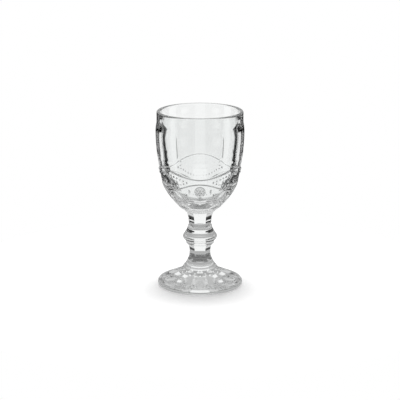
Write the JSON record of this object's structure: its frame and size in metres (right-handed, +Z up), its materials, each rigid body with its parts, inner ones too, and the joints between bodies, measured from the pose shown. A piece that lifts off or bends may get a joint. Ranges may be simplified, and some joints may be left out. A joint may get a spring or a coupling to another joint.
{
  "type": "wine goblet",
  "caption": "Stemmed wine goblet of clear pressed glass: a bowl with arched panels, beaded swags and petals on a six-sided stem with a knop and a petalled foot.",
  "frame": {"origin": "centre of the foot's resting ring, on the table", "axes": "+Z up the goblet's axis, -Y towards the front, where a swag crossing and a flat of the stem face"},
  "size_m": [0.0826, 0.0826, 0.167],
  "materials": {
    "clear_glass": "clear pressed soda-lime glass, fire-polished and glossy"
  },
  "bodies": {
    "root": {"bowl": "clear_glass", "bowl_collar": "clear_glass", "neck": "clear_glass", "knop": "clear_glass", "shank": "clear_glass", "foot_collar": "clear_glass", "foot": "clear_glass"}
  },
  "joints": []
}
